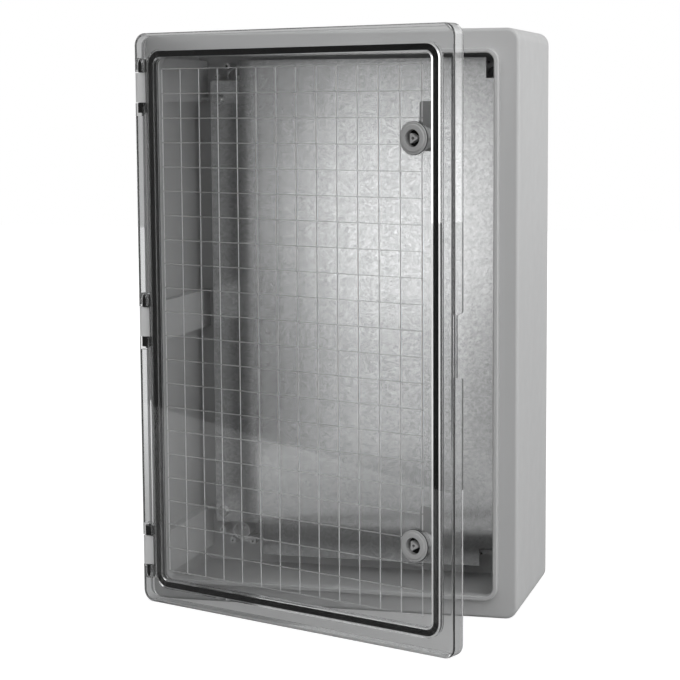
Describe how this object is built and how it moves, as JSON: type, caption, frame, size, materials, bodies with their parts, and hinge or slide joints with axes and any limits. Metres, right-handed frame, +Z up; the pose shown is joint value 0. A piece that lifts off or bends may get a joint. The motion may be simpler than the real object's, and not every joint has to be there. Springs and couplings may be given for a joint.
{
  "type": "hinged polycarbonate enclosure",
  "caption": "Wall-mounted polycarbonate enclosure with a hinged clear door, a moulded cut-out grid, quarter-turn locks, a rebated seal and a metal mounting plate.",
  "frame": {"origin": "centre of the wall-fixing hole pattern, on the back face that lies against the wall", "axes": "+X to the right for a person facing the door, with the hinges on the -X side; -Y out of the wall, towards the door; +Z up. The door is stored 22 degrees open"},
  "size_m": [0.4006, 0.3465, 0.6],
  "materials": {
    "body_moulding": "fine satin, light grey glass-filled polycarbonate",
    "clear_moulding": "clear, polished, with moulded lines on the inside",
    "hinge_block_plastic": "satin, light grey",
    "pin_plastic": "smooth, black",
    "gasket_rubber": "matt, black foamed seal",
    "galvanised_sheet": "galvanised, with a soft spangle",
    "screw_steel": "zinc plated",
    "insert_brass": "turned",
    "lock_metal": "satin, grey",
    "lock_core_plastic": "black"
  },
  "bodies": {
    "enclosure": {"body_shell": "body_moulding", "body_rim": "body_moulding", "body_posts": "body_moulding", "fixing_rings": "body_moulding", "corner_knobs": "body_moulding", "hinge_bosses": "body_moulding", "mounting_plate": "galvanised_sheet", "plate_inserts": "insert_brass", "plate_washers": "screw_steel", "plate_screws": "screw_steel", "hinge_block_upper": "hinge_block_plastic", "hinge_block_middle": "hinge_block_plastic", "hinge_block_lower": "hinge_block_plastic", "hinge_block_screws": "screw_steel"},
    "door": {"door_panel": "clear_moulding", "door_gasket": "gasket_rubber", "hinge_pin_upper": "pin_plastic", "hinge_pin_middle": "pin_plastic", "hinge_pin_lower": "pin_plastic", "lock_upper_housing": "lock_metal", "lock_upper_seal": "gasket_rubber", "lock_upper_nut": "lock_metal", "lock_lower_housing": "lock_metal", "lock_lower_seal": "gasket_rubber", "lock_lower_nut": "lock_metal"},
    "upper_lock": {"lock_upper_core": "lock_core_plastic", "lock_upper_drive": "lock_metal", "lock_upper_cam": "lock_metal", "lock_upper_cam_screw": "screw_steel"},
    "lower_lock": {"lock_lower_core": "lock_core_plastic", "lock_lower_drive": "lock_metal", "lock_lower_cam": "lock_metal", "lock_lower_cam_screw": "screw_steel"}
  },
  "joints": [
    {"name": "door_hinge", "type": "hinge", "parent": "enclosure", "child": "door", "pos_m": [-0.195, -0.194, 0], "axis": [0, 0, -1], "range_deg": [-22, 158]},
    {"name": "upper_lock_turn", "type": "hinge", "parent": "door", "child": "upper_lock", "pos_m": [0.12782, -0.3309, 0.1936], "axis": [0.3746, 0.9272, 0], "range_deg": [0, 90]},
    {"name": "lower_lock_turn", "type": "hinge", "parent": "door", "child": "lower_lock", "pos_m": [0.12782, -0.3309, -0.1936], "axis": [0.3746, 0.9272, 0], "range_deg": [0, 90]}
  ]
}
